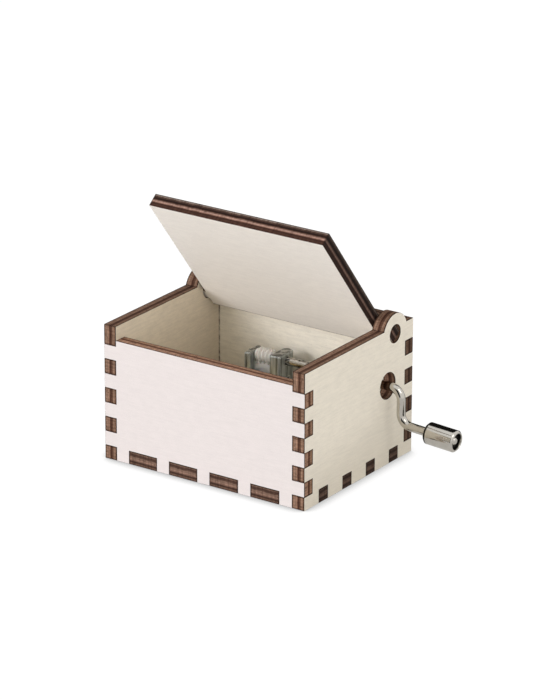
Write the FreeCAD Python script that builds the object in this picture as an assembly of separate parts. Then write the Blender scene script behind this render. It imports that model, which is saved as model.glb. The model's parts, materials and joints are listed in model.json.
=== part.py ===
import FreeCAD
import Part
import math
import os

# Hand-cranked music box in laser-cut plywood, in millimetres.
# Origin: centre of the footprint, on the underside. +Z is up, the front faces -Y,
# and the crank comes out of the +X side. The lid is drawn open, as it stands in use.

# Case, cut from one sheet of plywood
case_width = 64.0
case_depth = 51.0
wall_height = 38.0
ply = 3.8
finger = 4.1
joint_gap = 0.04
front_tab_count = 4
side_tab_count = 4
side_tab_pitch = 11.1

# Lid and its hinge, a square tab turning in a round hole in each side panel
lid_open_angle = 51.3
lid_side_gap = 0.65
lid_seat_gap = 0.10
lid_tail_gap = 0.15
hinge_setback = 8.7
hinge_tab_width = 3.2
hinge_tab_recess = 0.3
hinge_play = 0.07
ear_radius = 5.7

# Crank, bent from one length of wire, and its knob
crank_wire_diameter = 2.4
crank_bend_radius = 3.2
crank_throw = 10.0
crank_arm_offset = 4.3
crank_setback = 12.0
crank_height = 22.4
crank_hole_diameter = 7.4
handle_droop = 3.5
journal_diameter = 1.6
knob_diameter = 6.0
knob_length = 9.2
knob_offset = 5.4
knob_chamfer = 0.5
knob_recess_diameter = 4.6
knob_recess_depth = 1.5
knob_washer_thickness = 0.4
wire_end_recess = 0.4
wire_end_chamfer = 0.5
stop_ring_thickness = 0.7
stop_ring_wall = 0.5
shaft_tail = 0.7

# Worm on the crank wire and the wheel that it turns
gear_module = 0.4
wheel_teeth = 36
worm_pitch_diameter = 3.4
worm_length = 6.0
worm_collar_diameter = 3.0
worm_collar_length = 0.5
worm_from_right = 38.8
worm_side_gap = 0.2
wheel_face = 1.9
wheel_room = 0.3
wheel_hub_diameter = 4.8
wheel_rim_wall = 1.2
wheel_recess_depth = 0.5
pressure_angle = 20.0
dedendum_factor = 1.25
gear_backlash = 0.26
thread_sink = 0.1

# Cylinder with punched bumps, and its arbor
drum_diameter = 11.2
drum_length = 20.4
drum_wall = 0.6
cap_thickness = 1.2
cap_hub_diameter = 4.0
bump_height = 0.7
bump_base_width = 0.8
bump_tip_width = 0.3
drum_room = 0.4
bumps_per_tooth = 3
arbor_diameter = 2.0
arbor_tail = 0.6
arbor_clip_diameter = 4.2
arbor_clip_thickness = 0.5

# Steel comb
tooth_count = 18
tooth_pitch = 1.06
tooth_slit = 0.26
tooth_thickness = 0.7
tooth_length_bass = 9.6
tooth_length_treble = 6.2
comb_thickness = 1.3
comb_base_length = 6.4
comb_end_margin = 0.5
comb_tip_gap = 0.2
weight_count = 6
weight_length = 1.6
weight_depth = 0.9
weight_setback = 0.5
comb_screw_diameter = 2.4
comb_screw_head_diameter = 4.4
comb_screw_head_height = 1.3
comb_screw_head_chamfer = 0.4
comb_screw_inset = 3.6
comb_screw_length = 5.0

# Die-cast bedplate
bed_thickness = 2.0
bed_margin = 1.4
bed_corner_radius = 2.0
post_setback = 3.75
post_left_width = 1.8
post_left_depth = 6.7
post_left_wall = 0.4
post_right_width = 3.5
post_right_depth = 7.7
post_right_wall = 0.8
post_chamfer = 0.5
post_top_chamfer = 0.25
web_drop = 2.2
pillar_thickness = 2.2
pillar_half_width = 3.2
pillar_gap = 0.6
step_wall = 1.4
boss_diameter = 6.0
boss_height = 1.2
boss_margin = 0.4

# Screws that hold the bedplate to the floor
base_screw_diameter = 2.6
base_screw_head_diameter = 5.0
base_screw_head_height = 1.4
base_screw_recess = 0.25
screw_slot_width = 0.6
screw_slot_depth = 0.6

# Clearances
running_gap = 0.05
end_gap = 0.12

# Sizes that follow
half_width = case_width / 2
half_depth = case_depth / 2
inner_half_width = half_width - ply
inner_half_depth = half_depth - ply
lid_bottom = wall_height - ply
front_top = lid_bottom - lid_seat_gap
hinge_y = half_depth - hinge_setback
hinge_z = wall_height - ply / 2
hinge_hole_radius = math.hypot(ply, hinge_tab_width) / 2 + hinge_play
lid_half_width = inner_half_width - lid_side_gap
tail_reach = hinge_setback - ply - lid_tail_gap
lid_tail = math.sqrt(tail_reach ** 2 - (ply / 2) ** 2)

wire_radius = crank_wire_diameter / 2
journal_radius = journal_diameter / 2
shaft_y = half_depth - crank_setback
shaft_z = crank_height
arm_x = half_width + crank_arm_offset
low_bend_angle = math.radians(90 - handle_droop)

worm_x = half_width - worm_from_right
worm_x0 = worm_x - worm_length / 2
worm_x1 = worm_x + worm_length / 2
axial_pitch = math.pi * gear_module
worm_pitch_radius = worm_pitch_diameter / 2
worm_tip_radius = worm_pitch_radius + gear_module
worm_root_radius = worm_pitch_radius - dedendum_factor * gear_module
wheel_pitch_radius = gear_module * wheel_teeth / 2
wheel_tip_radius = wheel_pitch_radius + gear_module
wheel_root_radius = wheel_pitch_radius - dedendum_factor * gear_module
arbor_z = shaft_z - worm_pitch_radius - wheel_pitch_radius
arbor_radius = arbor_diameter / 2

bed_bottom = ply
bed_top = bed_bottom + bed_thickness
wheel_y0 = shaft_y - wheel_face / 2
wheel_y1 = shaft_y + wheel_face / 2
post_y0 = shaft_y - post_setback
post_y1 = post_y0 + max(post_left_depth, post_right_depth)
web_y1 = wheel_y0 - 2 * end_gap
left_post_x1 = worm_x0 - worm_side_gap
left_post_x0 = left_post_x1 - post_left_width
left_post_top = shaft_z + journal_radius + post_left_wall
right_post_x0 = worm_x1 + worm_side_gap
right_post_x1 = right_post_x0 + post_right_width
right_post_top = shaft_z + wire_radius + post_right_wall

drum_radius = drum_diameter / 2
drum_y1 = post_y0 - pillar_gap
drum_y0 = drum_y1 - drum_length
pillar_y1 = drum_y0 - pillar_gap
pillar_y0 = pillar_y1 - pillar_thickness
bump_circle = drum_radius + bump_height
clip_y0 = wheel_y1 + end_gap
clip_y1 = clip_y0 + arbor_clip_thickness

comb_width = tooth_count * tooth_pitch - tooth_slit + 2 * comb_end_margin
comb_y0 = (drum_y0 + drum_y1 - comb_width) / 2
comb_y1 = comb_y0 + comb_width
comb_tip_x = worm_x + bump_circle + comb_tip_gap
comb_root_x = comb_tip_x + tooth_length_bass
comb_end_x = comb_root_x + comb_base_length
comb_top = arbor_z + tooth_thickness / 2
comb_bottom = comb_top - comb_thickness
comb_screw_x = comb_root_x + comb_base_length / 2
comb_screw_ys = (comb_y0 + comb_screw_inset, comb_y1 - comb_screw_inset)

bed_x0 = worm_x - wheel_tip_radius - bed_margin
bed_x1 = comb_end_x + boss_diameter
bed_y0 = pillar_y0 - bed_margin
bed_y1 = post_y1 + bed_margin
boss_inset = boss_diameter / 2 + boss_margin
base_screw_places = (
    (bed_x0 + boss_inset, bed_y0 + boss_inset),
    (bed_x1 - boss_inset, bed_y0 + boss_inset),
    (bed_x1 - boss_inset, bed_y1 - boss_inset),
)

X = FreeCAD.Vector(1, 0, 0)
Y = FreeCAD.Vector(0, 1, 0)
Z = FreeCAD.Vector(0, 0, 1)


def vec(x, y, z):
    return FreeCAD.Vector(x, y, z)


def block(x0, x1, y0, y1, z0, z1):
    return Part.makeBox(x1 - x0, y1 - y0, z1 - z0, vec(x0, y0, z0))


def rod(radius, start, end):
    span = end - start
    return Part.makeCylinder(radius, span.Length, start, span)


def tube(outer, inner, start, end):
    return rod(outer, start, end).cut(rod(inner, start, end))


def prism(points, thrust):
    """Straight-edged outline pushed along thrust."""
    return Part.Face(Part.makePolygon(points + points[:1])).extrude(thrust)


def toothed_run(start, end, teeth, height):
    """Corner points from start towards end, where each (from, to) tooth stands out to the right."""
    run = (end[0] - start[0], end[1] - start[1])
    length = math.hypot(*run)
    along = (run[0] / length, run[1] / length)
    out = (along[1] * height, -along[0] * height)
    points = [start]
    for low, high in teeth:
        foot = [(start[0] + along[0] * s, start[1] + along[1] * s) for s in (low, high)]
        tip = [(p[0] + out[0], p[1] + out[1]) for p in foot]
        points += [foot[0], tip[0], tip[1], foot[1]]
    return points


def grown(teeth, gap):
    return [(low - gap, high + gap) for low, high in teeth]


def flipped(teeth, length):
    return [(length - high, length - low) for low, high in reversed(teeth)]


# Tabs of the floor along the front and the sides, measured from the inner corner
front_tab_width = (2 * inner_half_width - (front_tab_count + 1) * finger) / front_tab_count
front_tabs = []
for tab_index in range(front_tab_count):
    tab_start = finger + tab_index * (front_tab_width + finger)
    front_tabs.append((tab_start, tab_start + front_tab_width))
side_tabs = []
for tab_index in range(side_tab_count):
    tab_middle = inner_half_depth + (tab_index - (side_tab_count - 1) / 2) * side_tab_pitch
    side_tabs.append((tab_middle - finger / 2, tab_middle + finger / 2))

# Fingers of the front and back panels up each corner, measured from the underside
corner_finger_count = int(((front_top - ply) / finger - 1) // 2) + 1
corner_fingers = []
for finger_index in range(corner_finger_count):
    finger_start = ply + 2 * finger_index * finger
    corner_fingers.append((finger_start, finger_start + finger))


def make_bottom_panel():
    w, d = inner_half_width, inner_half_depth
    front = grown(front_tabs, -joint_gap)
    side = grown(side_tabs, -joint_gap)
    outline = toothed_run((-w, -d), (w, -d), front, ply)
    outline += toothed_run((w, -d), (w, d), side, ply)
    outline += toothed_run((w, d), (-w, d), front, ply)
    outline += toothed_run((-w, d), (-w, -d), side, ply)
    panel = prism([vec(x, y, 0) for x, y in outline], Z * ply)
    for x, y in base_screw_places:
        panel = panel.cut(base_screw_solid(x, y, 0, running_gap))
    return panel


def make_end_panel(y0, top):
    """Front or back panel: slots for the floor below, fingers up both corners."""
    w = inner_half_width
    fingers = grown(corner_fingers, -joint_gap)
    outline = toothed_run((-w, 0), (w, 0), grown(front_tabs, joint_gap), -ply)
    outline += toothed_run((w, 0), (w, top), fingers, ply)
    outline += toothed_run((w, top), (-w, top), [], 0)
    outline += toothed_run((-w, top), (-w, 0), flipped(fingers, top), ply)
    return prism([vec(x, y0, z) for x, z in outline], Y * ply)


def make_side_panel(x0):
    """Left or right panel, with the ear that carries the lid's hinge tab."""
    d = half_depth
    slots = grown(corner_fingers, joint_gap)
    tabs = [(low + ply, high + ply) for low, high in grown(side_tabs, joint_gap)]
    outline = toothed_run((-d, 0), (d, 0), tabs, -ply)
    outline += toothed_run((d, 0), (d, wall_height), slots, -ply)
    outline += toothed_run((d, wall_height), (-d, wall_height), [], 0)
    outline += toothed_run((-d, wall_height), (-d, 0), flipped(slots, wall_height), -ply)
    panel = prism([vec(x0, y, z) for y, z in outline], X * ply)
    hinge = vec(x0, hinge_y, hinge_z)
    panel = panel.fuse(rod(ear_radius, hinge, hinge + X * ply)).removeSplitter()
    return panel.cut(rod(hinge_hole_radius, hinge, hinge + X * ply))


def make_right_panel():
    hole = vec(inner_half_width, shaft_y, shaft_z)
    return make_side_panel(inner_half_width).cut(rod(crank_hole_diameter / 2, hole, hole + X * ply))


def make_lid_panel():
    """Flat lid with a square tab at each end of its hinge line, swung open."""
    w = lid_half_width
    front_y = -half_depth
    tail_y = hinge_y + lid_tail
    tab_reach = half_width - hinge_tab_recess - w
    tab = (hinge_y - front_y - hinge_tab_width / 2, hinge_y - front_y + hinge_tab_width / 2)
    length = tail_y - front_y
    outline = toothed_run((-w, front_y), (w, front_y), [], 0)
    outline += toothed_run((w, front_y), (w, tail_y), [tab], tab_reach)
    outline += toothed_run((w, tail_y), (-w, tail_y), [], 0)
    outline += toothed_run((-w, tail_y), (-w, front_y), flipped([tab], length), tab_reach)
    lid = prism([vec(x, y, lid_bottom) for x, y in outline], Z * ply)
    lid.rotate(vec(0, hinge_y, hinge_z), X, -lid_open_angle)
    return lid


def low_bend(angle):
    """Point on the bend between the crank's arm and its handle."""
    centre = vec(arm_x + crank_bend_radius, shaft_y, shaft_z - crank_throw + crank_bend_radius)
    return centre - (X * math.cos(angle) + Z * math.sin(angle)) * crank_bend_radius


def on_handle(along, out=0.0):
    """Point on the handle, which droops a little from the line of the shaft."""
    way = X * math.sin(low_bend_angle) - Z * math.cos(low_bend_angle)
    up = X * math.cos(low_bend_angle) + Z * math.sin(low_bend_angle)
    return low_bend(low_bend_angle) + way * along + up * out


def make_crank_wire():
    """Shaft, arm and handle in one bent wire, turned down to a journal for the worm."""
    bend = crank_bend_radius
    half = bend * math.sqrt(0.5)
    shoulder = vec(worm_x1, shaft_y, shaft_z)
    top_in = vec(arm_x - bend, shaft_y, shaft_z)
    top_mid = vec(arm_x - bend + half, shaft_y, shaft_z - bend + half)
    top_out = vec(arm_x, shaft_y, shaft_z - bend)
    end = on_handle(knob_offset + knob_length - wire_end_recess)
    path = Part.Wire([
        Part.LineSegment(shoulder, top_in).toShape(),
        Part.Arc(top_in, top_mid, top_out).toShape(),
        Part.LineSegment(top_out, low_bend(0)).toShape(),
        Part.Arc(low_bend(0), low_bend(low_bend_angle / 2), low_bend(low_bend_angle)).toShape(),
        Part.LineSegment(low_bend(low_bend_angle), end).toShape(),
    ])
    section = Part.Wire(Part.Circle(shoulder, X, wire_radius).toShape())
    wire = path.makePipeShell([section], True, False)
    ends = [edge for edge in wire.Edges if (edge.CenterOfMass - end).Length < end_gap]
    wire = wire.makeChamfer(wire_end_chamfer, ends)
    return wire.fuse(rod(journal_radius, vec(left_post_x0 - shaft_tail, shaft_y, shaft_z), shoulder))


def make_knob_stop_ring():
    """Ring pressed on the wire inside the mouth of the knob."""
    end = on_handle(knob_offset + stop_ring_thickness)
    return tube(wire_radius + stop_ring_wall, wire_radius, on_handle(knob_offset), end)


def make_knob_washer():
    """Retaining washer on the wire, in the recess at the knob's end."""
    seat = knob_offset + knob_length - knob_recess_depth + end_gap
    outer = knob_recess_diameter / 2 - 2 * running_gap
    return tube(outer, wire_radius, on_handle(seat), on_handle(seat + knob_washer_thickness))


def make_crank_knob():
    """Turned sleeve with bevelled ends, a mouth for the stop ring and a recess for the washer."""
    outer = knob_diameter / 2
    rim = outer - knob_chamfer
    bore = wire_radius + running_gap
    mouth = wire_radius + stop_ring_wall + running_gap
    mouth_depth = stop_ring_thickness + end_gap
    recess = knob_recess_diameter / 2
    length = knob_length
    floor = length - knob_recess_depth
    profile = [
        (0, mouth), (0, rim), (knob_chamfer, outer), (length - knob_chamfer, outer), (length, rim),
        (length, recess), (floor, recess), (floor, bore), (mouth_depth, bore), (mouth_depth, mouth),
    ]
    points = [on_handle(knob_offset + along, out) for along, out in profile]
    face = Part.Face(Part.makePolygon(points + points[:1]))
    return face.revolve(on_handle(0), on_handle(length) - on_handle(0), 360)


def make_worm():
    """Single right-handed thread between two collars; a crest faces straight down at mid length."""
    slope = math.tan(math.radians(pressure_angle))
    tip_half = axial_pitch / 4 - gear_backlash / 4 - gear_module * slope
    sunk = worm_root_radius - thread_sink
    sunk_half = tip_half + (worm_tip_radius - sunk) * slope
    thread_half = worm_length / 2 - worm_collar_length
    turns = math.ceil(thread_half / axial_pitch) + 1
    height = 2 * turns * axial_pitch
    low = -turns * axial_pitch
    helix = Part.makeHelix(axial_pitch, height, worm_pitch_radius)
    helix.translate(Z * low)
    section = Part.makePolygon([
        vec(sunk, 0, low - sunk_half),
        vec(worm_tip_radius, 0, low - tip_half),
        vec(worm_tip_radius, 0, low + tip_half),
        vec(sunk, 0, low + sunk_half),
        vec(sunk, 0, low - sunk_half),
    ])
    thread = Part.Wire(helix.Edges).makePipeShell([section], True, True)
    start = Z * (-worm_length / 2)
    end = Z * (worm_length / 2)
    low_collar = Z * -thread_half
    high_collar = Z * thread_half
    worm = thread.common(rod(worm_tip_radius + gear_module, low_collar, high_collar))
    worm = worm.fuse([
        rod(worm_root_radius, start, end),
        rod(worm_collar_diameter / 2, start, low_collar),
        rod(worm_collar_diameter / 2, high_collar, end),
    ])
    worm = worm.cut(rod(journal_radius, start, end))
    worm.rotate(vec(0, 0, 0), Y, 90)
    worm.translate(vec(worm_x, shaft_y, shaft_z))
    return worm


def wheel_section(level, turn):
    """Closed outline of all teeth at one level of the wheel, turned by an angle."""
    slope = math.tan(math.radians(pressure_angle))
    half_pitch = axial_pitch / 4 - gear_backlash / 4
    half_tip = half_pitch - gear_module * slope
    half_root = half_pitch + (wheel_pitch_radius - wheel_root_radius) * slope
    corners = [
        (wheel_root_radius, -half_root),
        (wheel_tip_radius, -half_tip),
        (wheel_tip_radius, half_tip),
        (wheel_root_radius, half_root),
    ]
    points = []
    for tooth in range(wheel_teeth):
        middle = turn - math.pi / 2 + (tooth + 0.5) * 2 * math.pi / wheel_teeth
        for radius, half in corners:
            angle = middle + half / radius
            points.append(vec(radius * math.cos(angle), radius * math.sin(angle), level))
    return Part.makePolygon(points + points[:1])


def make_worm_wheel():
    """Helical wheel whose teeth lie along the worm's thread; a tooth space faces the worm."""
    lead_slope = axial_pitch / (2 * math.pi * worm_pitch_radius)
    half_face = wheel_face / 2
    twist = lead_slope * half_face / wheel_pitch_radius
    low = wheel_section(-half_face, -twist)
    high = wheel_section(half_face, twist)
    wheel = Part.makeLoft([low, high], True, True)
    rim = wheel_root_radius - wheel_rim_wall
    hub = wheel_hub_diameter / 2
    for face, depth in ((half_face, -wheel_recess_depth), (-half_face, wheel_recess_depth)):
        wheel = wheel.cut(tube(rim, hub, Z * face, Z * (face + depth)))
    wheel = wheel.fuse(rod(hub, Z * (-half_face - end_gap), Z * (half_face + end_gap))).removeSplitter()
    wheel = wheel.cut(rod(arbor_radius, Z * -wheel_face, Z * wheel_face))
    wheel.rotate(vec(0, 0, 0), X, -90)
    wheel.translate(vec(worm_x, shaft_y, arbor_z))
    return wheel


def on_arbor(y):
    return vec(worm_x, y, arbor_z)


def tooth_y(index):
    return comb_y0 + comb_end_margin + (tooth_pitch - tooth_slit) / 2 + index * tooth_pitch


def make_bump(foot, out, rise):
    """Square punched bump that narrows from its foot outwards."""
    across = out.cross(Y)
    sections = []
    for centre, width in ((foot, bump_base_width), (foot + out * rise, bump_tip_width)):
        corners = []
        for u, v in ((-1, -1), (1, -1), (1, 1), (-1, 1)):
            corners.append(centre + (Y * u + across * v) * (width / 2))
        sections.append(Part.makePolygon(corners + corners[:1]))
    return Part.makeLoft(sections, True, True)


def make_cylinder_drum():
    """Thin drum with rows of punched bumps, one row in line with each comb tooth."""
    drum = rod(drum_radius, on_arbor(drum_y0), on_arbor(drum_y1))
    golden_turn = math.pi * (3 - math.sqrt(5))
    bumps = []
    for tooth in range(tooth_count):
        for beat in range(bumps_per_tooth):
            angle = golden_turn * tooth + beat * 2 * math.pi / bumps_per_tooth
            angle += math.sin(tooth + 2 * beat) / bumps_per_tooth
            out = vec(math.cos(angle), 0, math.sin(angle))
            foot = on_arbor(tooth_y(tooth)) + out * (drum_radius - drum_wall / 2)
            rise = bump_height + drum_wall / 2
            bumps.append(make_bump(foot, out, rise))
    drum = drum.fuse(bumps)
    return drum.cut(rod(drum_radius - drum_wall, on_arbor(drum_y0), on_arbor(drum_y1)))


def make_drum_cap(outer_y, inward, hub_y):
    """Disc pressed into one end of the drum, with a hub that keeps it off the bearing."""
    disc = rod(drum_radius - drum_wall, on_arbor(outer_y), on_arbor(outer_y + inward * cap_thickness))
    hub = rod(cap_hub_diameter / 2, on_arbor(outer_y), on_arbor(hub_y))
    cap = disc.fuse(hub)
    return cap.cut(rod(arbor_radius, on_arbor(drum_y0 - drum_length), on_arbor(drum_y1 + drum_length)))


def make_cylinder_arbor():
    return rod(arbor_radius, on_arbor(pillar_y0 - arbor_tail), on_arbor(clip_y1 + arbor_tail))


def make_arbor_clip():
    return tube(arbor_clip_diameter / 2, arbor_radius, on_arbor(clip_y0), on_arbor(clip_y1))


def make_comb():
    """Steel comb: tips in one line, slits whose roots slant from the bass to the treble end."""
    def root_x(index):
        share = index / (tooth_count - 2)
        return comb_tip_x + tooth_length_bass + share * (tooth_length_treble - tooth_length_bass)

    outline = [(comb_tip_x, comb_y0), (comb_end_x, comb_y0), (comb_end_x, comb_y1), (comb_tip_x, comb_y1)]
    for index in reversed(range(tooth_count - 1)):
        middle = (tooth_y(index) + tooth_y(index + 1)) / 2
        high = middle + tooth_slit / 2
        low = middle - tooth_slit / 2
        outline += [(comb_tip_x, high), (root_x(index), high), (root_x(index), low), (comb_tip_x, low)]
    comb = prism([vec(x, y, comb_bottom) for x, y in outline], Z * comb_thickness)
    thin = [
        (comb_tip_x, comb_y0),
        (root_x(0), comb_y0),
        (root_x(tooth_count - 2), comb_y1),
        (comb_tip_x, comb_y1),
    ]
    comb = comb.cut(prism([vec(x, y, comb_bottom) for x, y in thin], Z * (comb_thickness - tooth_thickness)))
    for y in comb_screw_ys:
        foot = vec(comb_screw_x, y, comb_bottom)
        comb = comb.cut(rod(comb_screw_diameter / 2 + running_gap, foot, foot + Z * comb_thickness))
    return comb


def make_comb_weights():
    """Lead weights soldered under the tips of the bass teeth."""
    top = comb_top - tooth_thickness
    half = (tooth_pitch - tooth_slit) / 2
    weights = []
    for index in range(weight_count):
        y = tooth_y(index)
        x0 = comb_tip_x + weight_setback
        weights.append(block(x0, x0 + weight_length, y - half, y + half, top - weight_depth, top))
    return Part.makeCompound(weights)


def make_comb_screws():
    screws = []
    for y in comb_screw_ys:
        seat = vec(comb_screw_x, y, comb_top)
        head = rod(comb_screw_head_diameter / 2, seat, seat + Z * comb_screw_head_height)
        head = head.makeChamfer(comb_screw_head_chamfer, [head.Edges[0]])
        shank = rod(comb_screw_diameter / 2, seat - Z * comb_screw_length, seat)
        slot = screw_slot(seat + Z * (comb_screw_head_height - screw_slot_depth), comb_screw_head_diameter)
        screws.append(head.fuse(shank).cut(slot))
    return Part.makeCompound(screws)


def screw_slot(floor, reach):
    """Straight driver slot, open upwards from its floor."""
    return block(
        floor.x - reach, floor.x + reach,
        floor.y - screw_slot_width / 2, floor.y + screw_slot_width / 2,
        floor.z, floor.z + 2 * screw_slot_depth,
    )


def base_screw_solid(x, y, foot, gap):
    """Countersunk screw from below, with its cone starting at the foot level, grown by gap."""
    radius = base_screw_diameter / 2
    head_radius = base_screw_head_diameter / 2
    flare = (head_radius - radius) / base_screw_head_height
    mouth = head_radius + (base_screw_recess - foot) * flare
    neck = base_screw_recess + base_screw_head_height
    head = Part.makeCone(mouth + gap, radius + gap, neck - foot, vec(x, y, foot), Z)
    return head.fuse(rod(radius + gap, vec(x, y, neck), vec(x, y, bed_top + boss_height - end_gap)))


def make_base_screws():
    screws = []
    for x, y in base_screw_places:
        slot = screw_slot(vec(x, y, base_screw_recess - screw_slot_depth), base_screw_head_diameter)
        screws.append(base_screw_solid(x, y, base_screw_recess, 0).cut(slot))
    return Part.makeCompound(screws)


def make_post(x0, x1, depth, top):
    """Upright beside the worm: a tongue in plan, bevelled in front and round at the back."""
    nose = (x1 - x0) / 2
    back = post_y0 + depth - nose
    bevel = post_chamfer

    def at(x, y):
        return vec(x, y, bed_bottom)

    def line(a, b):
        return Part.LineSegment(at(*a), at(*b)).toShape()

    plan = Part.Wire([
        line((x0 + bevel, post_y0), (x1 - bevel, post_y0)),
        line((x1 - bevel, post_y0), (x1, post_y0 + bevel)),
        line((x1, post_y0 + bevel), (x1, back)),
        Part.Arc(at(x1, back), at(x0 + nose, back + nose), at(x0, back)).toShape(),
        line((x0, back), (x0, post_y0 + bevel)),
        line((x0, post_y0 + bevel), (x0 + bevel, post_y0)),
    ])
    post = Part.Face(plan).extrude(Z * (top - bed_bottom))
    rim = [edge for edge in post.Edges if abs(edge.BoundBox.ZMin - top) < end_gap]
    return post.makeChamfer(post_top_chamfer, rim)


def make_pillar():
    """Front bearing of the arbor: an upright with a round head and flared foot."""
    r = pillar_half_width

    def at(x, z):
        return vec(worm_x + x, pillar_y0, z)

    foot = r + bed_margin
    profile = Part.Wire([
        Part.LineSegment(at(-foot, bed_bottom), at(foot, bed_bottom)).toShape(),
        Part.LineSegment(at(foot, bed_bottom), at(r, arbor_z)).toShape(),
        Part.Arc(at(r, arbor_z), at(0, arbor_z + r), at(-r, arbor_z)).toShape(),
        Part.LineSegment(at(-r, arbor_z), at(-foot, bed_bottom)).toShape(),
    ])
    return Part.Face(profile).extrude(Y * pillar_thickness)


def make_bedplate():
    """Casting: plate, arbor bearings, worm posts, comb step and screw bosses in one piece."""
    plate = block(bed_x0, bed_x1, bed_y0, bed_y1, bed_bottom, bed_top)
    corners = [edge for edge in plate.Edges if abs(edge.tangentAt(edge.FirstParameter).z) > 0.5]
    plate = plate.makeFillet(bed_corner_radius, corners)
    web_top = arbor_z + wheel_root_radius - web_drop
    web_x0 = left_post_x1 - post_chamfer
    web_x1 = right_post_x0 + post_chamfer
    web = block(web_x0, web_x1, post_y0, web_y1, bed_bottom, web_top)
    step = block(comb_root_x, comb_end_x, comb_y0, comb_y1, bed_bottom, comb_bottom)
    solids = [make_pillar(), web, step]
    solids.append(make_post(left_post_x0, left_post_x1, post_left_depth, left_post_top))
    solids.append(make_post(right_post_x0, right_post_x1, post_right_depth, right_post_top))
    for x, y in base_screw_places:
        foot = vec(x, y, bed_bottom)
        solids.append(rod(boss_diameter / 2, foot, foot + Z * (bed_thickness + boss_height)))
    bed = plate.fuse(solids).removeSplitter()
    hollow_top = comb_bottom - comb_screw_length
    hollow = block(
        comb_root_x + step_wall, comb_end_x - step_wall,
        comb_y0 + step_wall, comb_y1 - step_wall,
        bed_bottom, hollow_top,
    )
    wheel_pocket = rod(
        wheel_tip_radius + wheel_room, on_arbor(wheel_y0 - 2 * end_gap), on_arbor(wheel_y1 + wheel_room),
    )
    drum_pocket = rod(bump_circle + drum_room, on_arbor(pillar_y1), on_arbor(post_y0))
    cutters = [hollow, wheel_pocket, drum_pocket]
    shaft = vec(worm_x, shaft_y, shaft_z)
    cutters.append(rod(journal_radius + running_gap, vec(bed_x0, shaft_y, shaft_z), shaft))
    cutters.append(rod(wire_radius + running_gap, shaft, vec(bed_x1, shaft_y, shaft_z)))
    cutters.append(rod(arbor_radius + running_gap, on_arbor(bed_y0), on_arbor(bed_y1)))
    for y in comb_screw_ys:
        top = vec(comb_screw_x, y, comb_bottom)
        cutters.append(rod(comb_screw_diameter / 2, top - Z * comb_screw_length, top))
    for x, y in base_screw_places:
        foot = vec(x, y, bed_bottom)
        cutters.append(rod(base_screw_diameter / 2, foot, foot + Z * (bed_thickness + boss_height)))
    return bed.cut(cutters)


def save(name, shape):
    shape.exportStep(os.path.join("parts", name + ".step"))


def main():
    os.makedirs("parts", exist_ok=True)
    save("bottom_panel", make_bottom_panel())
    save("front_panel", make_end_panel(-half_depth, front_top))
    save("back_panel", make_end_panel(inner_half_depth, wall_height))
    save("left_panel", make_side_panel(-half_width))
    save("right_panel", make_right_panel())
    save("lid_panel", make_lid_panel())
    save("crank_wire", make_crank_wire())
    save("knob_stop_ring", make_knob_stop_ring())
    save("knob_washer", make_knob_washer())
    save("crank_knob", make_crank_knob())
    save("worm", make_worm())
    save("worm_wheel", make_worm_wheel())
    save("cylinder_drum", make_cylinder_drum())
    save("drum_front_cap", make_drum_cap(drum_y0, 1, pillar_y1 + end_gap))
    save("drum_rear_cap", make_drum_cap(drum_y1, -1, post_y0 - end_gap))
    save("cylinder_arbor", make_cylinder_arbor())
    save("arbor_clip", make_arbor_clip())
    save("comb", make_comb())
    save("comb_weights", make_comb_weights())
    save("comb_screws", make_comb_screws())
    save("base_screws", make_base_screws())
    save("bedplate", make_bedplate())


main()
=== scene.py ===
import json
import math

import bpy
from mathutils import Matrix, Vector


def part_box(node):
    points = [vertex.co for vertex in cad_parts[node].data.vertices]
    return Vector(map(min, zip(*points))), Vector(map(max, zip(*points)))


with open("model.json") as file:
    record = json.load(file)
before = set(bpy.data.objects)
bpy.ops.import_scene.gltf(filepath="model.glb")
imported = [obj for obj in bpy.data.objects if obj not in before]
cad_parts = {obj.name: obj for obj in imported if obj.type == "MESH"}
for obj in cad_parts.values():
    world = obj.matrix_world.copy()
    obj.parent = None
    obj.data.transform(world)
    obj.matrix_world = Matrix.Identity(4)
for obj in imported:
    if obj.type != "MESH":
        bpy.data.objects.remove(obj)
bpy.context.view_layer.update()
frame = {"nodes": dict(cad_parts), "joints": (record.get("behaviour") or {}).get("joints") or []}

# Looks of the hand-cranked plywood music box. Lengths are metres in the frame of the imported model.

mm = 0.001
nodes = frame["nodes"]
joints = {joint["name"]: joint for joint in frame["joints"]}
axis_x, axis_y, axis_z = Vector((1, 0, 0)), Vector((0, 1, 0)), Vector((0, 0, 1))


def linear(red, green, blue):
    """Colour as written on a 0 to 255 scale, in linear light."""
    def channel(value):
        share = value / 255
        return share / 12.92 if share <= 0.04045 else ((share + 0.055) / 1.055) ** 2.4
    return (channel(red), channel(green), channel(blue), 1.0)


# Camera, placed as the photograph was taken
camera_place = Vector((609.1, -879.1, 437.5)) * mm
camera_azimuth = math.radians(34.56)
camera_elevation = math.radians(20.87)
camera_roll = math.radians(0.18)
camera_lens = 222.4
camera_sensor = 36.0
camera_clip = (0.05, 20.0)

# Sheet thickness, lid and knob, as packed
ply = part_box("front_panel")[1].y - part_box("front_panel")[0].y
lid_angle = math.radians(-joints["lid_hinge"]["range_deg"][0])
lid_normal = Vector((0, math.sin(lid_angle), math.cos(lid_angle)))
lid_hinge = Vector(joints["lid_hinge"]["pos_m"])
knob_place = Vector(joints["knob_spin"]["pos_m"])
knob_axis = Vector(joints["knob_spin"]["axis"])

# Eased edges
panel_bevel = 0.07 * mm
knob_bevel = 0.05 * mm
casting_bevel = 0.18 * mm
weight_bevel = 0.08 * mm
bevel_angle = math.radians(40)
weld_reach = 0.001 * mm

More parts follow.
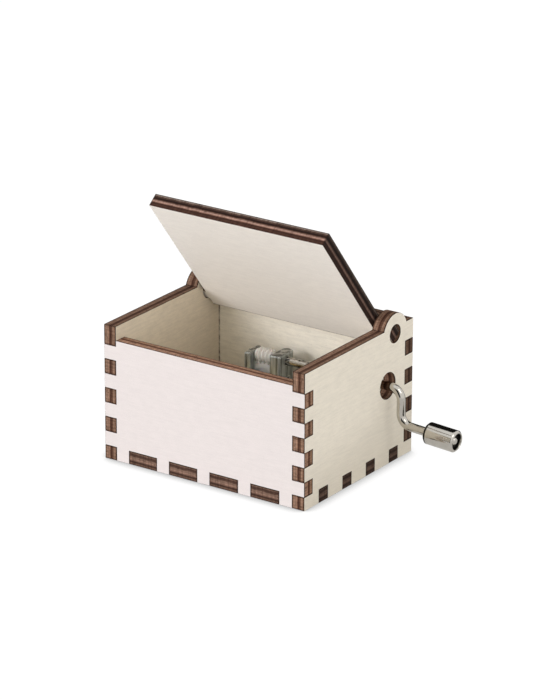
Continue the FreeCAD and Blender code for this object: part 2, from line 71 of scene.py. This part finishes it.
# Plywood: its outer veneer, the rim of a cut edge, painted shade in inside corners and painted shade darker
# towards the floor.
# Faces look along the sheet's normal by face_turn or more, cut edges by cut_turn or less.
outside = linear(242, 234, 221)
pore_colour = linear(150, 128, 100)
face_turn, cut_turn = 0.99, 0.92
# The black rim of a cut edge is laser char, and also painted shade of the kerf gaps between fingers
rim_reach = 0.7 * mm
rim_colour = linear(34, 19, 12)
blot_colour = linear(56, 33, 24)
ply_wander = 0.14
ply_layers = 13.0
# Painted shade along the inside corners, where another sheet meets the inside
corner_shade_core, corner_shade_reach = 0.10 * mm, 0.40 * mm
corner_shade_share = 0.75
corner_shade_colour = linear(84, 56, 40)
# Painted shade, darkening the veneer towards the floor
floor_shade_height = 20 * mm
floor_shade_colour = linear(150, 138, 118)

# Plies of a cut edge, from the low side of the sheet to its high side
wall_plies = (
    (0.00, linear(62, 40, 30)), (0.06, linear(112, 84, 66)), (0.16, linear(150, 118, 98)),
    (0.30, linear(158, 124, 103)), (0.40, linear(130, 97, 78)), (0.49, linear(80, 50, 37)),
    (0.58, linear(90, 58, 43)), (0.68, linear(122, 90, 71)), (0.78, linear(154, 121, 100)),
    (0.88, linear(138, 106, 86)), (0.95, linear(94, 66, 50)), (1.00, linear(46, 28, 21)),
)
floor_plies = (
    (0.00, linear(96, 70, 56)), (0.10, linear(112, 86, 72)), (0.24, linear(68, 44, 33)),
    (0.38, linear(128, 99, 84)), (0.50, linear(158, 126, 108)), (0.62, linear(130, 101, 86)),
    (0.76, linear(66, 42, 31)), (0.90, linear(116, 90, 76)), (1.00, linear(88, 64, 52)),
)
# Lid edge: its pale grey bands at the high side are painted light along the top of the edge
lid_plies = (
    (0.00, linear(150, 118, 104)), (0.05, linear(66, 43, 34)), (0.32, linear(74, 48, 38)),
    (0.40, linear(150, 116, 101)), (0.48, linear(176, 143, 128)), (0.54, linear(132, 98, 84)),
    (0.59, linear(50, 31, 24)), (0.72, linear(46, 28, 21)), (0.84, linear(92, 70, 60)),
    (0.95, linear(150, 136, 126)), (1.00, linear(112, 98, 88)),
)

# Black on the nickel plate: a painted dark reflection on the knob's lip, painted shade inside its recess, and
# greasy patches on the shaft that are also a painted dark reflection. Each pair is where it starts and where
# it is full: along the knob's axis or out from it for the lip and the recess, along X for the greasy patches
# on the shaft.
black_colour = linear(26, 24, 22)
black_rough = 0.45
lip_start = (0.18 * mm, 0.30 * mm)
lip_end = (0.95 * mm, 0.80 * mm)
recess_radius = (2.35 * mm, 2.29 * mm)
recess_end = (8.80 * mm, 8.60 * mm)
greasy_shade_edge = (28.6 * mm, 27.6 * mm)

# Rounding in the knob's shading
knob_ease = 0.5 * mm

# Casting: heights between which its painted top shade begins, and how far its painted edge highlights reach
top_shade_edge = (21.0 * mm, 22.0 * mm)
edge_highlight_reach = 0.4 * mm

# Sky
sky_colour = (1.0, 0.985, 0.945, 1)
sky_strength = 1.58
sky_height = 0.9

# Floor: paper for scattered light, white in gloss, a glow with contact shadow to the eye
floor_half = 3.0
floor_level = -0.02 * mm
floor_paper = (0.75, 0.75, 0.75, 1)
floor_gloss = 0.95
floor_gloss_share = 0.5
floor_glow = 1.09
floor_lit_share = 0.12
contact_reach = 6 * mm
contact_shades = ((0.50, 0.55), (0.60, 0.71), (0.68, 0.83), (0.78, 0.94), (0.88, 1.0))

# Lamps: name, azimuth, elevation, size, power and colour
lamp_target = Vector((0, 0, 30 * mm))
lamp_distance = 1.4
lamps = (
    ("key softbox", -25, 19, (0.8, 0.4), 10.6, (0.99, 0.99, 1.05)),
    ("right softbox", 80, 45, (0.7, 0.7), 2.9, (1.0, 0.98, 0.93)),
)

# Flags
flag_black = (0.012, 0.011, 0.010, 1)
card_grey = (0.50, 0.465, 0.40, 1)
line_grey = (0.03, 0.028, 0.025, 1)
behind_corners = ((-0.4, 0.03, 0), (0.045, 0.03, 0), (0.045, 0.7, 0), (-0.4, 0.7, 0))
before_corners = ((0.07, -0.13, 0), (0.005, -0.15, 0), (0.035, -1.0, 0), (0.47, -0.88, 0))


class Tree:
    """Node tree of a material or of the world, with short calls for its nodes."""

    def __init__(self, owner):
        owner.use_nodes = True
        self.owner = owner
        self.tree = owner.node_tree

    def put(self, value, socket):
        if isinstance(value, bpy.types.NodeSocket):
            self.tree.links.new(value, socket)
        else:
            socket.default_value = value

    def node(self, kind, inputs=(), **settings):
        made = self.tree.nodes.new(kind)
        for key, value in settings.items():
            setattr(made, key, value)
        for key, value in dict(inputs).items():
            self.put(value, made.inputs[key])
        return made

    def math(self, operation, first, second=0.0):
        return self.node("ShaderNodeMath", {0: first, 1: second}, operation=operation).outputs[0]

    def vector(self, operation, first, second):
        return self.node("ShaderNodeVectorMath", {0: first, 1: second}, operation=operation).outputs[0]

    def dot(self, first, second):
        made = self.node("ShaderNodeVectorMath", {0: first, 1: second}, operation="DOT_PRODUCT")
        return made.outputs["Value"]

    def remap(self, value, low, high, to_low=0.0, to_high=1.0, kind="SMOOTHSTEP"):
        inputs = {"Value": value, 1: low, 2: high, 3: to_low, 4: to_high}
        return self.node("ShaderNodeMapRange", inputs, interpolation_type=kind).outputs[0]

    def ramp(self, value, stops):
        made = self.node("ShaderNodeValToRGB", {"Fac": value})
        elements = made.color_ramp.elements
        while len(elements) < len(stops):
            elements.new(0.5)
        for element, (place, colour) in zip(elements, stops):
            element.position = place
            element.color = colour
        return made.outputs["Color"]

    def rays(self, *kinds):
        """One for rays of any of these kinds, nought for the others."""
        path = self.node("ShaderNodeLightPath").outputs
        total = path[kinds[0]]
        for kind in kinds[1:]:
            total = self.math("MAXIMUM", total, path[kind])
        return total

    def mix_shader(self, share, first, second):
        return self.node("ShaderNodeMixShader", {0: share, 1: first, 2: second}).outputs[0]

    def show(self, shader, output):
        self.put(shader, self.tree.nodes[output].inputs["Surface"])


class Finish(Tree):
    """Material of a piece, with patterns that follow the piece."""

    sockets = {
        "colour": "Base Color", "roughness": "Roughness", "metallic": "Metallic",
        "specular": "Specular IOR Level", "subsurface": "Subsurface Weight",
        "subsurface_scale": "Subsurface Scale",
    }

    def __init__(self, name):
        super().__init__(bpy.data.materials.new(name))
        self.shader = self.tree.nodes["Principled BSDF"]
        place = self.node("ShaderNodeTexCoord")
        self.position = place.outputs["Object"]
        self.normal = place.outputs["Normal"]

    def combine(self, x, y, z):
        return self.node("ShaderNodeCombineXYZ", {0: x, 1: y, 2: z}).outputs[0]

    def scaled(self, vector, scale):
        return self.vector("MULTIPLY", vector, scale)

    def noise(self, vector, detail, roughness=0.5):
        inputs = {"Vector": vector, "Scale": 1.0, "Detail": detail, "Roughness": roughness}
        return self.node("ShaderNodeTexNoise", inputs).outputs["Fac"]

    def pattern(self, scale, detail, roughness=0.5):
        """Noise through the piece; scale is per millimetre, one number or one for each axis."""
        scales = scale if isinstance(scale, tuple) else (scale,) * 3
        return self.noise(self.scaled(self.position, [value / mm for value in scales]), detail, roughness)

    def mix(self, share, first, second):
        inputs = {"Factor": share, "A": first, "B": second}
        return self.node("ShaderNodeMix", inputs, data_type="RGBA").outputs["Result"]

    def blend(self, share, first, second):
        inputs = {"Factor": share, "A": first, "B": second}
        return self.node("ShaderNodeMix", inputs, data_type="FLOAT").outputs["Result"]

    def near_edge(self, reach):
        """One at a sharp edge of the piece, falling to nought at reach from it."""
        rounded = self.node("ShaderNodeBevel", {"Radius": reach}, samples=6).outputs[0]
        flat = self.node("ShaderNodeNewGeometry").outputs["True Normal"]
        return self.remap(self.dot(rounded, flat), 0.99, 0.90)

    def bump(self, height, distance, ease=0.0):
        """Raises the surface by a height pattern; ease rounds its sharp edges over that radius."""
        made = self.node("ShaderNodeBump", {"Height": height, "Distance": distance})
        if ease:
            rounded = self.node("ShaderNodeBevel", {"Radius": ease}, samples=8).outputs[0]
            self.put(rounded, made.inputs["Normal"])
        self.put(made.outputs[0], self.shader.inputs["Normal"])

    def set(self, **values):
        for key, value in values.items():
            self.put(value, self.shader.inputs[self.sockets[key]])
        return self.owner


def plywood(name, middle, normal, grain, tones, figure, plies, burn, corner_shade=(), floor_shade=0.0):
    """Sanded plywood sheet with laser-cut edges.

    middle and normal give the mid plane, and grain the run of the fibres. tones are the veneers on the low
    and the high side, partly their own tone and partly painted light and shade, and figure is the strength
    of their pattern. plies are the bands of a cut edge. burn is how light they are on most edges and on those
    that face along X, the darker of them partly painted shade. soot lists the lines of painted shade in
    inside
    corners: the side of the sheet, an axis, and the distance along it. grime is the share of painted shade
    near the floor.
    """
    g = Finish(name)
    across = normal.cross(grain)
    depth = g.math("DIVIDE", g.math("SUBTRACT", g.dot(g.position, normal), middle), ply)
    facing = g.math("ABSOLUTE", g.dot(g.normal, normal))
    cut = g.remap(facing, face_turn, cut_turn)
    rim = g.near_edge(rim_reach)

    # Face veneer: fibres, short pores, mottle and a fine tooth
    along_mm = g.math("DIVIDE", g.dot(g.position, grain), mm)
    across_mm = g.math("DIVIDE", g.dot(g.position, across), mm)
    side = g.math("SIGN", depth)

    def stretched(lengthwise, crosswise, detail, roughness=0.5):
        along = g.math("MULTIPLY", along_mm, lengthwise)
        return g.noise(g.combine(along, g.math("MULTIPLY", across_mm, crosswise), side), detail, roughness)

    fibres = stretched(0.16, 1.6, 5, 0.7)
    pores = g.remap(stretched(0.8, 5.0, 2), 0.60, 0.76)
    mottle = stretched(0.35, 0.5, 3, 0.6)
    tooth = stretched(3.0, 3.6, 2)
    shade = g.remap(fibres, 0.25, 0.75, 1.0 - 0.09 * figure, 1.0 + 0.05 * figure)
    shade = g.math("MULTIPLY", shade, g.remap(mottle, 0.3, 0.7, 1.0 - 0.04 * figure, 1.0 + 0.03 * figure))
    shade = g.math("MULTIPLY", shade, g.remap(tooth, 0.3, 0.7, 0.98, 1.02))
    veneer = g.scaled(g.mix(g.remap(depth, -0.1, 0.1), *tones), g.combine(shade, shade, shade))
    veneer = g.mix(g.math("MULTIPLY", pores, 0.18 * figure), veneer, pore_colour)

    # Painted shade on the veneer: darker towards the floor and along the inside corners
    low_shade = g.remap(g.dot(g.position, axis_z), floor_shade_height, 0.0, 0.0, floor_shade)
    low_shade = g.math("MULTIPLY", low_shade, g.remap(mottle, 0.3, 0.7, 0.8, 1.2))
    veneer = g.mix(low_shade, veneer, floor_shade_colour)
    patchy = g.remap(g.pattern(0.9, detail=3), 0.35, 0.6, 0.45, 1.0)
    # Lines of painted shade along the inside corners
    for inside, axis, distance in corner_shade:
        away = g.math("ABSOLUTE", g.math("SUBTRACT", g.dot(g.position, axis), distance))
        line = g.math("MULTIPLY", g.remap(away, corner_shade_reach, corner_shade_core, 0.0, corner_shade_share), patchy)
        line = g.math("MULTIPLY", line, g.remap(g.math("MULTIPLY", depth, inside), 0.1, 0.3))
        veneer = g.mix(line, veneer, corner_shade_colour)

    # Cut edge: scorched plies in bands, striped across by the beam, black at the very rim as char and as
    # painted shade of the kerf gaps
    plane_mm = g.scaled(g.vector("CROSS_PRODUCT", g.position, normal), (1 / mm,) * 3)
    wander = g.noise(g.scaled(plane_mm, (0.35,) * 3), detail=4, roughness=0.6)
    shift = g.math("MULTIPLY", g.math("SUBTRACT", wander, 0.5), ply_wander)
    bands = g.ramp(g.math("ADD", g.math("ADD", depth, 0.5), shift), plies)
    stripes = g.noise(g.scaled(plane_mm, (2.8,) * 3), detail=3, roughness=0.6)
    layers = g.noise(g.combine(g.math("MULTIPLY", depth, ply_layers), wander, 0.0), detail=2)
    blots = g.pattern(1.3, detail=3, roughness=0.6)
    beam = g.remap(stripes, 0.30, 0.70, 0.72, 1.20)
    beam = g.math("MULTIPLY", beam, g.remap(layers, 0.35, 0.65, 0.58, 1.36))
    # Edges that face along X take the second burn value, darker, partly as deeper burn and partly as painted
    # shade
    sideways = g.math("POWER", g.math("ABSOLUTE", g.dot(g.normal, axis_x)), 2.0)
    beam = g.math("MULTIPLY", beam, g.blend(sideways, *burn))
    burnt = g.scaled(bands, g.combine(beam, beam, beam))
    burnt = g.mix(g.remap(blots, 0.52, 0.70, 0.0, 0.6), burnt, blot_colour)
    burnt = g.mix(rim, burnt, rim_colour)

    height = g.blend(cut, g.math("MULTIPLY", fibres, 0.3), g.math("MULTIPLY", stripes, 1.5))
    g.bump(height, 0.03 * mm)
    face_rough = g.remap(fibres, 0.2, 0.8, 0.58, 0.70)
    return g.set(colour=g.mix(cut, veneer, burnt), roughness=g.blend(cut, face_rough, 0.85), specular=0.18)


def polished_nickel(name, dark, light, black, ease=0.0):
    """Bright nickel plate with faint hairlines and a little haze; black gives the share drawn dark, as
    painted reflection and shade on the knob and as grease with a painted dark reflection on the shaft.
    """
    g = Finish(name)
    haze = g.pattern(0.9, detail=4, roughness=0.6)
    hairlines = g.pattern((14.0, 2.0, 2.0), detail=2)
    share = black(g)
    g.bump(hairlines, 0.001 * mm, ease)
    return g.set(
        colour=g.mix(share, g.mix(haze, dark, light), black_colour),
        roughness=g.blend(share, g.remap(haze, 0.3, 0.7, 0.05, 0.09), black_rough), metallic=1.0,
    )


def knob_painted_shade(g):
    """Painted dark on the knob: a painted dark reflection along the lip at its mouth and painted shade on
    everything inside its recess.
    """
    away = g.vector("SUBTRACT", g.position, knob_place)
    along = g.dot(away, knob_axis)
    aside = g.vector("SUBTRACT", away, g.scaled(g.combine(along, along, along), knob_axis))
    radius = g.math("SQRT", g.dot(aside, aside))
    lip = g.math("MULTIPLY", g.remap(along, *lip_start), g.remap(along, *lip_end))
    recess = g.math("MULTIPLY", g.remap(radius, *recess_radius), g.remap(along, *recess_end))
    return g.math("MAXIMUM", lip, recess)


def shaft_greasy_shade(g):
    """Greasy patches on the shaft, inside the box only, that also paint its dark reflection."""
    inside = g.remap(g.dot(g.position, axis_x), *greasy_shade_edge)
    greasy_shade = g.pattern((0.45, 1.4, 1.4), detail=3, roughness=0.6)
    return g.math("MULTIPLY", inside, g.remap(greasy_shade, 0.50, 0.63, 0.0, 0.9))


def zinc_casting(name):
    """Zinc casting: grey metal with upright streaks that paint reflections, painted mottled shade on its top
    faces and painted highlights along its edges.
    """
    g = Finish(name)
    pebble = g.pattern(2.4, detail=4, roughness=0.6)
    streaks = g.pattern((0.8, 0.8, 0.08), detail=2)
    patchiness = g.pattern(0.6, detail=2)
    # Upright light and dark streaks: painted reflections on the faces
    colour = g.mix(g.remap(streaks, 0.36, 0.66), linear(112, 117, 114), linear(204, 209, 206))
    colour = g.mix(g.remap(pebble, 0.55, 0.75, 0.0, 0.08), colour, linear(80, 85, 83))
    # Top faces high on the casting: painted mottled shade
    top = g.remap(g.dot(g.normal, axis_z), 0.7, 0.95)
    top = g.math("MULTIPLY", top, g.remap(g.dot(g.position, axis_z), *top_shade_edge))
    top_shade = g.mix(g.remap(patchiness, 0.46, 0.60), linear(88, 87, 83), linear(168, 167, 161))
    colour = g.mix(top, colour, top_shade)
    # Edges drawn bright: painted highlights
    edge_highlight = g.math("MULTIPLY", g.near_edge(edge_highlight_reach), g.remap(patchiness, 0.35, 0.6, 0.5, 1.0))
    colour = g.mix(edge_highlight, colour, linear(236, 240, 238))
    g.bump(pebble, 0.0015 * mm)
    return g.set(colour=colour, roughness=g.remap(pebble, 0.3, 0.7, 0.28, 0.34), metallic=0.7)


def white_nylon(name):
    """Moulded white nylon, slightly translucent, with faint flow marks."""
    g = Finish(name)
    flow = g.pattern((0.6, 1.4, 0.6), detail=3)
    g.bump(g.pattern(6.0, detail=2), 0.006 * mm)
    return g.set(
        colour=g.mix(flow, linear(234, 232, 226), linear(246, 245, 240)),
        roughness=g.remap(flow, 0.3, 0.7, 0.32, 0.45), subsurface=0.08, subsurface_scale=0.5 * mm,
    )


def brass(name):
    """Rolled brass sheet with fine drawing lines round the drum and a light tarnish."""
    g = Finish(name)
    lines = g.pattern((0.4, 16.0, 0.4), detail=2)
    tarnish = g.pattern(0.5, detail=4, roughness=0.6)
    g.bump(lines, 0.004 * mm)
    return g.set(
        colour=g.mix(g.remap(tarnish, 0.4, 0.7), linear(200, 180, 132), linear(170, 148, 104)),
        roughness=g.remap(tarnish, 0.3, 0.7, 0.2, 0.34), metallic=1.0,
    )


def ground_steel(name, dark, light, rough):
    """Steel with grinding lines along X and a few darker spots; rough is its range of roughness."""
    g = Finish(name)
    lines = g.pattern((0.5, 11.0, 11.0), detail=3)
    spots = g.pattern(1.1, detail=4, roughness=0.7)
    colour = g.mix(g.remap(spots, 0.62, 0.8, 0.0, 0.4), g.mix(lines, dark, light), dark)
    g.bump(lines, 0.004 * mm)
    return g.set(colour=colour, roughness=g.remap(lines, 0.2, 0.8, *rough), metallic=1.0)


def soft_lead(name):
    """Dull lead with a grey skin."""
    g = Finish(name)
    skin = g.pattern(2.0, detail=4, roughness=0.65)
    g.bump(skin, 0.03 * mm)
    return g.set(
        colour=g.mix(skin, linear(92, 95, 99), linear(140, 143, 147)),
        roughness=g.remap(skin, 0.3, 0.7, 0.5, 0.7), metallic=0.7,
    )


def dress(node, material, bevel=0.0, segments=2):
    """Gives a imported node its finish, joined facets, and eased edges."""
    piece = nodes[node]
    piece.data.materials.clear()
    piece.data.materials.append(material)
    weld = piece.modifiers.new("joined facets", "WELD")
    weld.merge_threshold = weld_reach
    if bevel:
        eased = piece.modifiers.new("eased edges", "BEVEL")
        eased.width = bevel
        eased.segments = segments
        eased.limit_method = "ANGLE"
        eased.angle_limit = bevel_angle
        eased.harden_normals = False
    smooth = piece.modifiers.new("even shading", "WEIGHTED_NORMAL")
    smooth.keep_sharp = True


def dress_panels():
    """Plywood of the six sheets, with painted shade where another sheet meets the inside."""
    down = Vector((0, math.cos(lid_angle), -math.sin(lid_angle)))
    heel = max(vertex.co.dot(down) for vertex in nodes["lid_panel"].data.vertices)
    corner_x, corner_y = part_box("right_panel")[0].x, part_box("back_panel")[0].y
    # Veneer tones differ per sheet partly as their own tone and partly as painted light and shade for how
    # each face is lit: the front's outside and the left's inside darker, the lid, the back's inside and the
    # right's outside lighter
    sheets = {
        "bottom_panel": {
            "normal": axis_z, "grain": axis_x, "plies": floor_plies, "burn": (0.80, 0.36),
            "tones": (outside, linear(240, 231, 216)), "figure": 1.0,
        },
        "front_panel": {
            "normal": axis_y, "grain": axis_x, "plies": wall_plies, "burn": (1.5, 1.18),
            "tones": (linear(224, 216, 213), outside), "figure": 0.35,
        },
        "back_panel": {
            "normal": axis_y, "grain": axis_x, "plies": wall_plies, "burn": (0.6, 0.44),
            "tones": (linear(250, 243, 226), outside), "figure": 1.0,
            "corner_shade": ((-1, axis_x, corner_x), (-1, axis_x, -corner_x)),
        },
        "left_panel": {
            "normal": axis_x, "grain": axis_y, "plies": wall_plies, "burn": (0.8, 0.8),
            "tones": (outside, linear(230, 217, 196)), "figure": 1.0,
            "corner_shade": ((1, axis_y, corner_y),),
        },
        "right_panel": {
            "normal": axis_x, "grain": axis_y, "plies": wall_plies, "burn": (0.88, 0.86),
            "tones": (outside, linear(250, 242, 228)), "figure": 0.7,
            "corner_shade": ((-1, axis_y, corner_y),), "floor_shade": 0.24,
        },
        "lid_panel": {
            "normal": lid_normal, "grain": axis_x, "plies": lid_plies, "burn": (1.0, 0.38),
            "tones": (linear(245, 239, 230), linear(250, 244, 235)), "figure": 0.45,
            "corner_shade": ((-1, down, heel),),
        },
    }
    for node, sheet in sheets.items():
        low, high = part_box(node)
        centre = lid_hinge if node == "lid_panel" else (low + high) / 2
        middle = centre.dot(sheet["normal"])
        dress(node, plywood(node + "_plywood", middle, **sheet), panel_bevel)


def dress_metal():
    """Finishes of the crank, its knob and the movement."""
    bright = (linear(186, 181, 172), linear(206, 202, 194))
    nickel = polished_nickel("polished_nickel_plate", *bright, shaft_greasy_shade)
    knob = polished_nickel("polished_nickel_knob", *bright, knob_painted_shade, knob_ease)
    nylon = white_nylon("moulded_white_nylon")
    sheet_brass = brass("rolled_brass")
    spring = ground_steel("ground_spring_steel", linear(120, 122, 126), linear(188, 190, 194), (0.22, 0.36))
    screw = ground_steel("plated_screw_steel", linear(140, 138, 132), linear(196, 194, 188), (0.28, 0.42))
    blackened = ground_steel("blackened_steel", linear(30, 28, 26), linear(48, 46, 43), (0.45, 0.59))
    dress("crank_knob", knob, knob_bevel, 3)
    dress("bedplate", zinc_casting("zinc_die_casting"), casting_bevel, 3)
    dress("comb_weights", soft_lead("soldered_lead"), weight_bevel)
    unbevelled = (
        (nickel, ("crank_wire",)),
        (blackened, ("knob_stop_ring", "knob_washer")),
        (nylon, ("worm", "worm_wheel")),
        (sheet_brass, ("cylinder_drum", "drum_front_cap", "drum_rear_cap")),
        (spring, ("cylinder_arbor", "arbor_clip", "comb")),
        (screw, ("comb_screws", "base_screws")),
    )
    for material, pieces in unbevelled:
        for node in pieces:
            dress(node, material)


def make_world():
    """White to the eye and in reflections; a softer sky, brightest at the skyline, lights the object."""
    world = bpy.data.worlds.new("studio")
    bpy.context.scene.world = world
    g = Tree(world)
    white = g.tree.nodes["Background"]
    g.put((1, 1, 1, 1), white.inputs["Color"])
    g.put(1.0, white.inputs["Strength"])
    height = g.dot(g.node("ShaderNodeTexCoord").outputs["Generated"], axis_z)
    strength = g.remap(height, 0.0, sky_height, sky_strength, 0.0, "LINEAR")
    sky = g.node("ShaderNodeBackground", {"Color": sky_colour, "Strength": strength})
    shown = g.rays("Is Camera Ray", "Is Glossy Ray", "Is Transmission Ray")
    g.show(g.mix_shader(shown, sky.outputs[0], white.outputs[0]), "World Output")


def make_plane(name, corners, material):
    mesh = bpy.data.meshes.new(name)
    mesh.from_pydata(corners, [], [(0, 1, 2, 3)])
    mesh.materials.append(material)
    plane = bpy.data.objects.new(name, mesh)
    bpy.context.scene.collection.objects.link(plane)
    return plane


def make_floor():
    """Pale floor: white where it is lit, with the object's soft shadow."""
    g = Tree(bpy.data.materials.new("pale_floor"))
    g.tree.nodes.remove(g.tree.nodes["Principled BSDF"])
    paper = g.node("ShaderNodeBsdfDiffuse", {"Color": floor_paper})
    white = g.node("ShaderNodeEmission", {"Strength": floor_gloss})
    gloss = g.math("MULTIPLY", g.rays("Is Glossy Ray"), floor_gloss_share)
    mirrored = g.mix_shader(gloss, paper.outputs[0], white.outputs[0])
    near = g.node("ShaderNodeAmbientOcclusion", {"Distance": contact_reach}, samples=16)
    stops = [(place, (shade, shade, shade, 1)) for place, shade in contact_shades]
    contact = g.ramp(near.outputs["AO"], stops)
    lit = g.node("ShaderNodeBsdfDiffuse", {"Color": contact})
    glow = g.node("ShaderNodeEmission", {"Color": contact, "Strength": floor_glow})
    shown = g.mix_shader(floor_lit_share, glow.outputs[0], lit.outputs[0])
    seen = g.rays("Is Camera Ray", "Is Transmission Ray")
    g.show(g.mix_shader(seen, mirrored, shown), "Material Output")
    half = floor_half
    corners = [(-half, -half, 0), (half, -half, 0), (half, half, 0), (-half, half, 0)]
    floor = make_plane("floor", corners, g.owner)
    floor.location.z = floor_level


def around(centre, azimuth, elevation, distance):
    """Place seen from a centre, with the azimuth counted from the front towards the right."""
    a, e = math.radians(azimuth), math.radians(elevation)
    return centre + Vector((math.sin(a) * math.cos(e), -math.cos(a) * math.cos(e), math.sin(e))) * distance


def make_lamp(name, azimuth, elevation, size, power, colour):
    data = bpy.data.lights.new(name, "AREA")
    data.shape = "RECTANGLE"
    data.size, data.size_y = size
    data.energy = power
    data.color = colour
    lamp = bpy.data.objects.new(name, data)
    bpy.context.scene.collection.objects.link(lamp)
    lamp.location = around(lamp_target, azimuth, elevation, lamp_distance)
    lamp.rotation_euler = (lamp_target - lamp.location).to_track_quat("-Z", "Y").to_euler()


def make_flag(name, corners, shade):
    """Studio flag that only polished surfaces see."""
    material = bpy.data.materials.new(name + " cloth")
    material.use_nodes = True
    shader = material.node_tree.nodes["Principled BSDF"]
    shader.inputs["Base Color"].default_value = (0, 0, 0, 1)
    shader.inputs["Specular IOR Level"].default_value = 0.0
    shader.inputs["Emission Color"].default_value = shade
    shader.inputs["Emission Strength"].default_value = 1.0
    flag = make_plane(name, corners, material)
    flag.visible_camera = False
    flag.visible_diffuse = False
    flag.visible_shadow = False
    flag.visible_transmission = False


def upright(azimuth, distance, width, low, high):
    """Corners of a standing rectangle at an azimuth from the object, facing it."""
    a = math.radians(azimuth)
    out = Vector((math.sin(a), math.cos(a), 0)) * distance
    side = Vector((math.cos(a), -math.sin(a), 0)) * (width / 2)
    ends = ((-1, low), (1, low), (1, high), (-1, high))
    return [out + side * way + axis_z * level for way, level in ends]


def make_flags():
    for azimuth in (-15, -55, -95):
        make_flag("back flag {}".format(-azimuth), upright(azimuth, 0.8, 0.6, 0.0, 1.5), flag_black)
    make_flag("floor flag", behind_corners, flag_black)
    make_flag("front floor flag", before_corners, flag_black)
    make_flag("front flag", upright(163, 1.0, 0.55, 0.0, 0.9), flag_black)
    make_flag("front card", upright(-145, 1.02, 1.5, 0.05, 0.95), card_grey)
    make_flag("front line", upright(-145, 0.98, 1.5, 0.0, 0.045), line_grey)


def make_camera():
    data = bpy.data.cameras.new("camera")
    data.lens = camera_lens
    data.sensor_width = camera_sensor
    data.clip_start, data.clip_end = camera_clip
    camera = bpy.data.objects.new("camera", data)
    bpy.context.scene.collection.objects.link(camera)
    turn = Matrix.Rotation(camera_azimuth, 4, "Z") @ Matrix.Rotation(math.pi / 2 - camera_elevation, 4, "X")
    camera.matrix_world = Matrix.Translation(camera_place) @ turn @ Matrix.Rotation(camera_roll, 4, "Z")
    bpy.context.scene.camera = camera


bpy.context.scene.view_settings.view_transform = "Standard"
make_world()
make_floor()
for lamp in lamps:
    make_lamp(*lamp)
make_flags()
make_camera()
dress_panels()
dress_metal()
